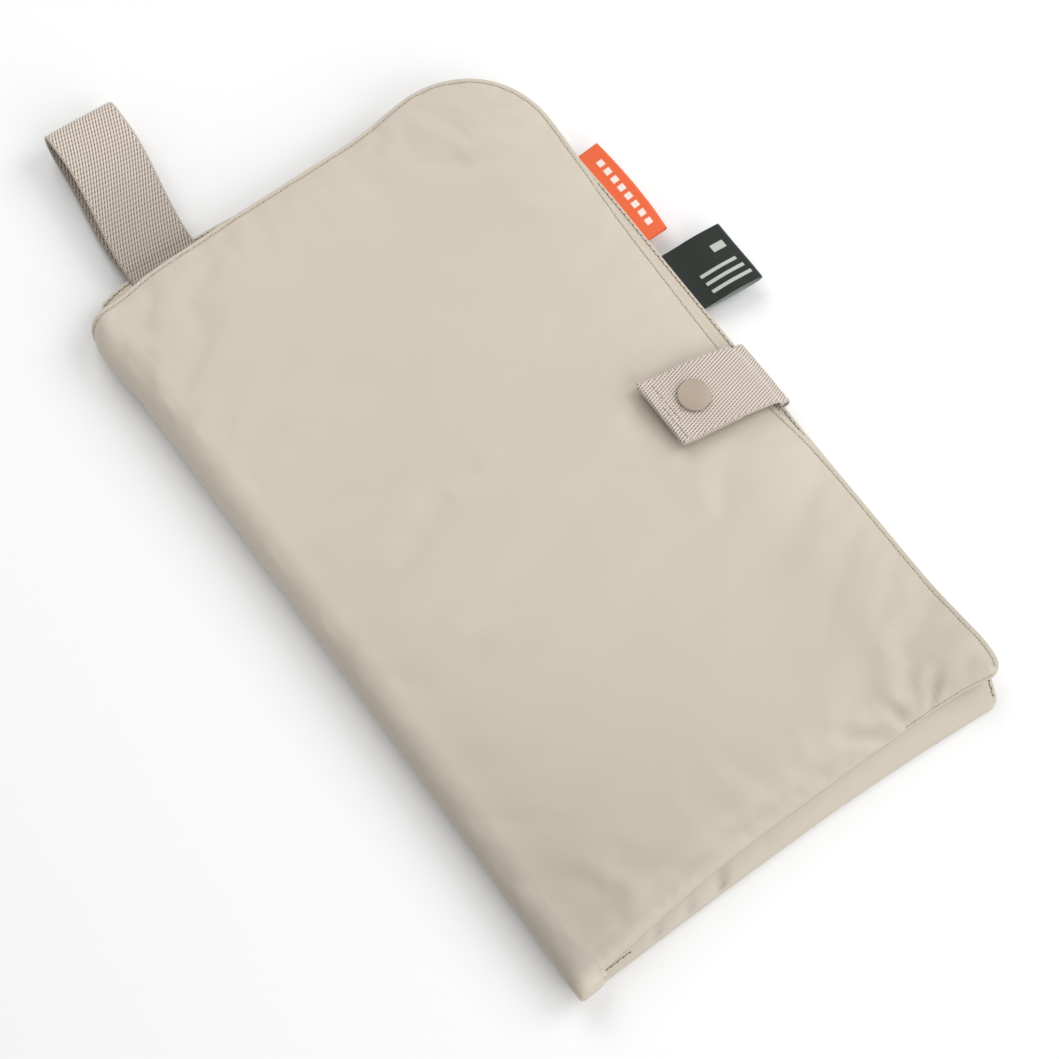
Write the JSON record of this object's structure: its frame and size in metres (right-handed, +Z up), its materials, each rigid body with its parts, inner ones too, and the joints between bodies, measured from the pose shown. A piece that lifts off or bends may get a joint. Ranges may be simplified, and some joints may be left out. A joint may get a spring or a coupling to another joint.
{
  "type": "changing pad",
  "caption": "Padded travel changing mat folded in four, with a webbing snap strap that holds it shut, a webbing hanging loop and two small side labels.",
  "frame": {"origin": "middle of the underside of the folded mat, on the surface it rests on", "axes": "+X from the lengthwise fold to the open edge with the snap strap, +Y from the crosswise crease to the hanging loop, +Z up"},
  "size_m": [0.2276, 0.3974, 0.0287],
  "materials": {
    "coated_fabric": "smooth matte-satin coated polyester, sand beige",
    "wadding": "soft needled polyester wadding, off-white",
    "lining_fabric": "wipe-clean coated lining, satin",
    "thread": "polyester sewing thread, matte beige",
    "webbing": "ribbed woven webbing, matte taupe",
    "snap_plastic": "satin moulded plastic, warm taupe",
    "orange_label": "woven satin ribbon, orange",
    "green_label": "woven satin ribbon, very dark green"
  },
  "bodies": {
    "lower_packet": {"lower_cover": "coated_fabric", "lower_bottom_padding": "wadding", "lower_top_padding": "wadding", "lower_lining": "lining_fabric", "lower_edge_stitching": "thread", "lower_crease_stitching": "thread"},
    "spine": {"spine_cover": "coated_fabric", "spine_outer_padding": "wadding", "spine_lining": "lining_fabric", "spine_inner_padding": "wadding"},
    "upper_packet": {"upper_cover": "coated_fabric", "upper_bottom_padding": "wadding", "upper_top_padding": "wadding", "upper_lining": "lining_fabric", "upper_edge_stitching": "thread", "upper_crease_stitching": "thread", "snap_stud": "snap_plastic", "stud_backing_cap": "snap_plastic"},
    "strap_root": {"strap_root_webbing": "webbing"},
    "strap_end": {"strap_end_webbing": "webbing", "strap_end_stitching": "thread", "snap_cap": "snap_plastic", "snap_socket": "snap_plastic"},
    "hanging_loop": {"hanging_loop_webbing": "webbing"},
    "orange_side_label": {"orange_label": "orange_label"},
    "green_side_label": {"green_label": "green_label"}
  },
  "joints": [
    {"name": "lengthwise_fold", "type": "hinge", "parent": "spine", "child": "upper_packet", "pos_m": [-0.09825, 0, 0.0204], "axis": [0, -1, 0], "range_deg": [0, 90]},
    {"name": "lengthwise_fold_lower_bend", "type": "hinge", "parent": "lower_packet", "child": "spine", "pos_m": [-0.09825, 0, 0], "axis": [0, -1, 0], "range_deg": [0, 90]},
    {"name": "strap_open", "type": "hinge", "parent": "strap_root", "child": "strap_end", "pos_m": [0.10415, -0.01385, 0.02145], "axis": [0, 1, 0], "range_deg": [0, 90]},
    {"name": "strap_seam_bend", "type": "hinge", "parent": "lower_packet", "child": "strap_root", "pos_m": [0.10415, -0.01385, 0.0075], "axis": [0, 1, 0], "range_deg": [0, 90]},
    {"name": "hanging_loop_swing", "type": "hinge", "parent": "lower_packet", "child": "hanging_loop", "pos_m": [-0.05825, 0.16525, 0.0075], "axis": [1, 0, 0], "range_deg": [0, 75]},
    {"name": "orange_label_flex", "type": "hinge", "parent": "lower_packet", "child": "orange_side_label", "pos_m": [0.10295, 0.08175, 0.0082], "axis": [0, -1, 0], "range_deg": [-10, 80]},
    {"name": "green_label_flex", "type": "hinge", "parent": "lower_packet", "child": "green_side_label", "pos_m": [0.10295, 0.03625, 0.0082], "axis": [0, -1, 0], "range_deg": [-10, 80]}
  ],
  "couplings": [
    {"joint": "lengthwise_fold_lower_bend", "follows": "lengthwise_fold", "ratio": 1},
    {"joint": "strap_seam_bend", "follows": "strap_open", "ratio": 1}
  ]
}
